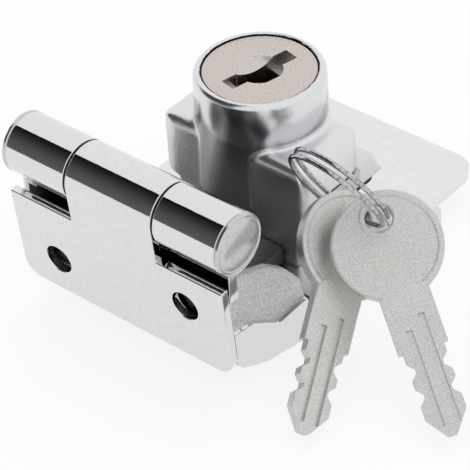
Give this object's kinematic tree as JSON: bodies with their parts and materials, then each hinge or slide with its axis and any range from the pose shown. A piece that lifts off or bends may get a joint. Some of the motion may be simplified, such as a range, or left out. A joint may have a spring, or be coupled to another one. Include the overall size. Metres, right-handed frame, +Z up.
{
  "type": "glass cabinet door lock",
  "caption": "Chrome clamp hinge for a glass cabinet door, with a key cylinder that throws a side bolt, a swinging mounting leaf, and keys on a split ring.",
  "frame": {"origin": "on the floor under the lock cylinder's axis", "axes": "+X along the hinge barrel towards the keys, +Y from the hinge to the jaw plate's back edge, +Z up along the lock axis"},
  "size_m": [0.076, 0.0652, 0.0352],
  "materials": {
    "chrome": "polished",
    "cast_chrome": "as cast on the cheeks, smooth below",
    "satin": "satin",
    "nickel": "satin",
    "brass": "plain",
    "rubber": "matte",
    "nylon": "matte"
  },
  "bodies": {
    "clamp": {"base_foot": "cast_chrome", "jaw_plate": "chrome", "plate_rivets": "chrome", "hinge_leaf": "chrome", "leaf_rivets": "chrome", "hinge_pin": "chrome", "hinge_washers": "brass", "lock_housing": "chrome", "neck_screws": "nickel", "bolt_cover": "nickel", "cover_screws": "nickel", "glass_pad": "rubber", "grub_screws": "nickel", "grub_tips": "nylon"},
    "leaf": {"mounting_leaf": "chrome"},
    "plug": {"cylinder_plug": "satin", "wafer_springs": "nickel", "drive_cam": "nickel", "cam_screw": "nickel"},
    "wafers": {"wafer_tumblers": "brass"},
    "bolt": {"lock_bolt": "nickel"},
    "ring": {"key_ring": "chrome"},
    "front_key": {"key_front": "nickel"},
    "back_key": {"key_back": "nickel"}
  },
  "joints": [
    {"name": "leaf_swing", "type": "hinge", "parent": "clamp", "child": "leaf", "pos_m": [0, -0.031, 0.0287], "axis": [-1, 0, 0], "range_deg": [0, 180]},
    {"name": "key_turn", "type": "hinge", "parent": "clamp", "child": "plug", "pos_m": [0, 0, 0.025], "axis": [0, 0, -1], "range_deg": [0, 90]},
    {"name": "bolt_throw", "type": "slide", "parent": "clamp", "child": "bolt", "axis": [1, 0, 0], "range_m": [0, 0.0046]},
    {"name": "wafer_slide", "type": "slide", "parent": "plug", "child": "wafers", "axis": [0.225, 0.9744, 0], "range_m": [0, 0.0007]},
    {"name": "ring_lift", "type": "slide", "parent": "clamp", "child": "ring", "axis": [0, 0, 1], "range_m": [0, 0.03]},
    {"name": "front_key_swing", "type": "hinge", "parent": "ring", "child": "front_key", "pos_m": [0.02897, -0.00809, 0.02234], "axis": [0.3737, -0.4749, 0.7967], "range_deg": [0, 12]},
    {"name": "back_key_swing", "type": "hinge", "parent": "ring", "child": "back_key", "pos_m": [0.02402, -0.00739, 0.01939], "axis": [-0.7428, 0.1094, -0.6605], "range_deg": [0, 12]}
  ],
  "couplings": [
    {"joint": "bolt_throw", "follows": "key_turn", "m_per_rad": 0.002865}
  ]
}
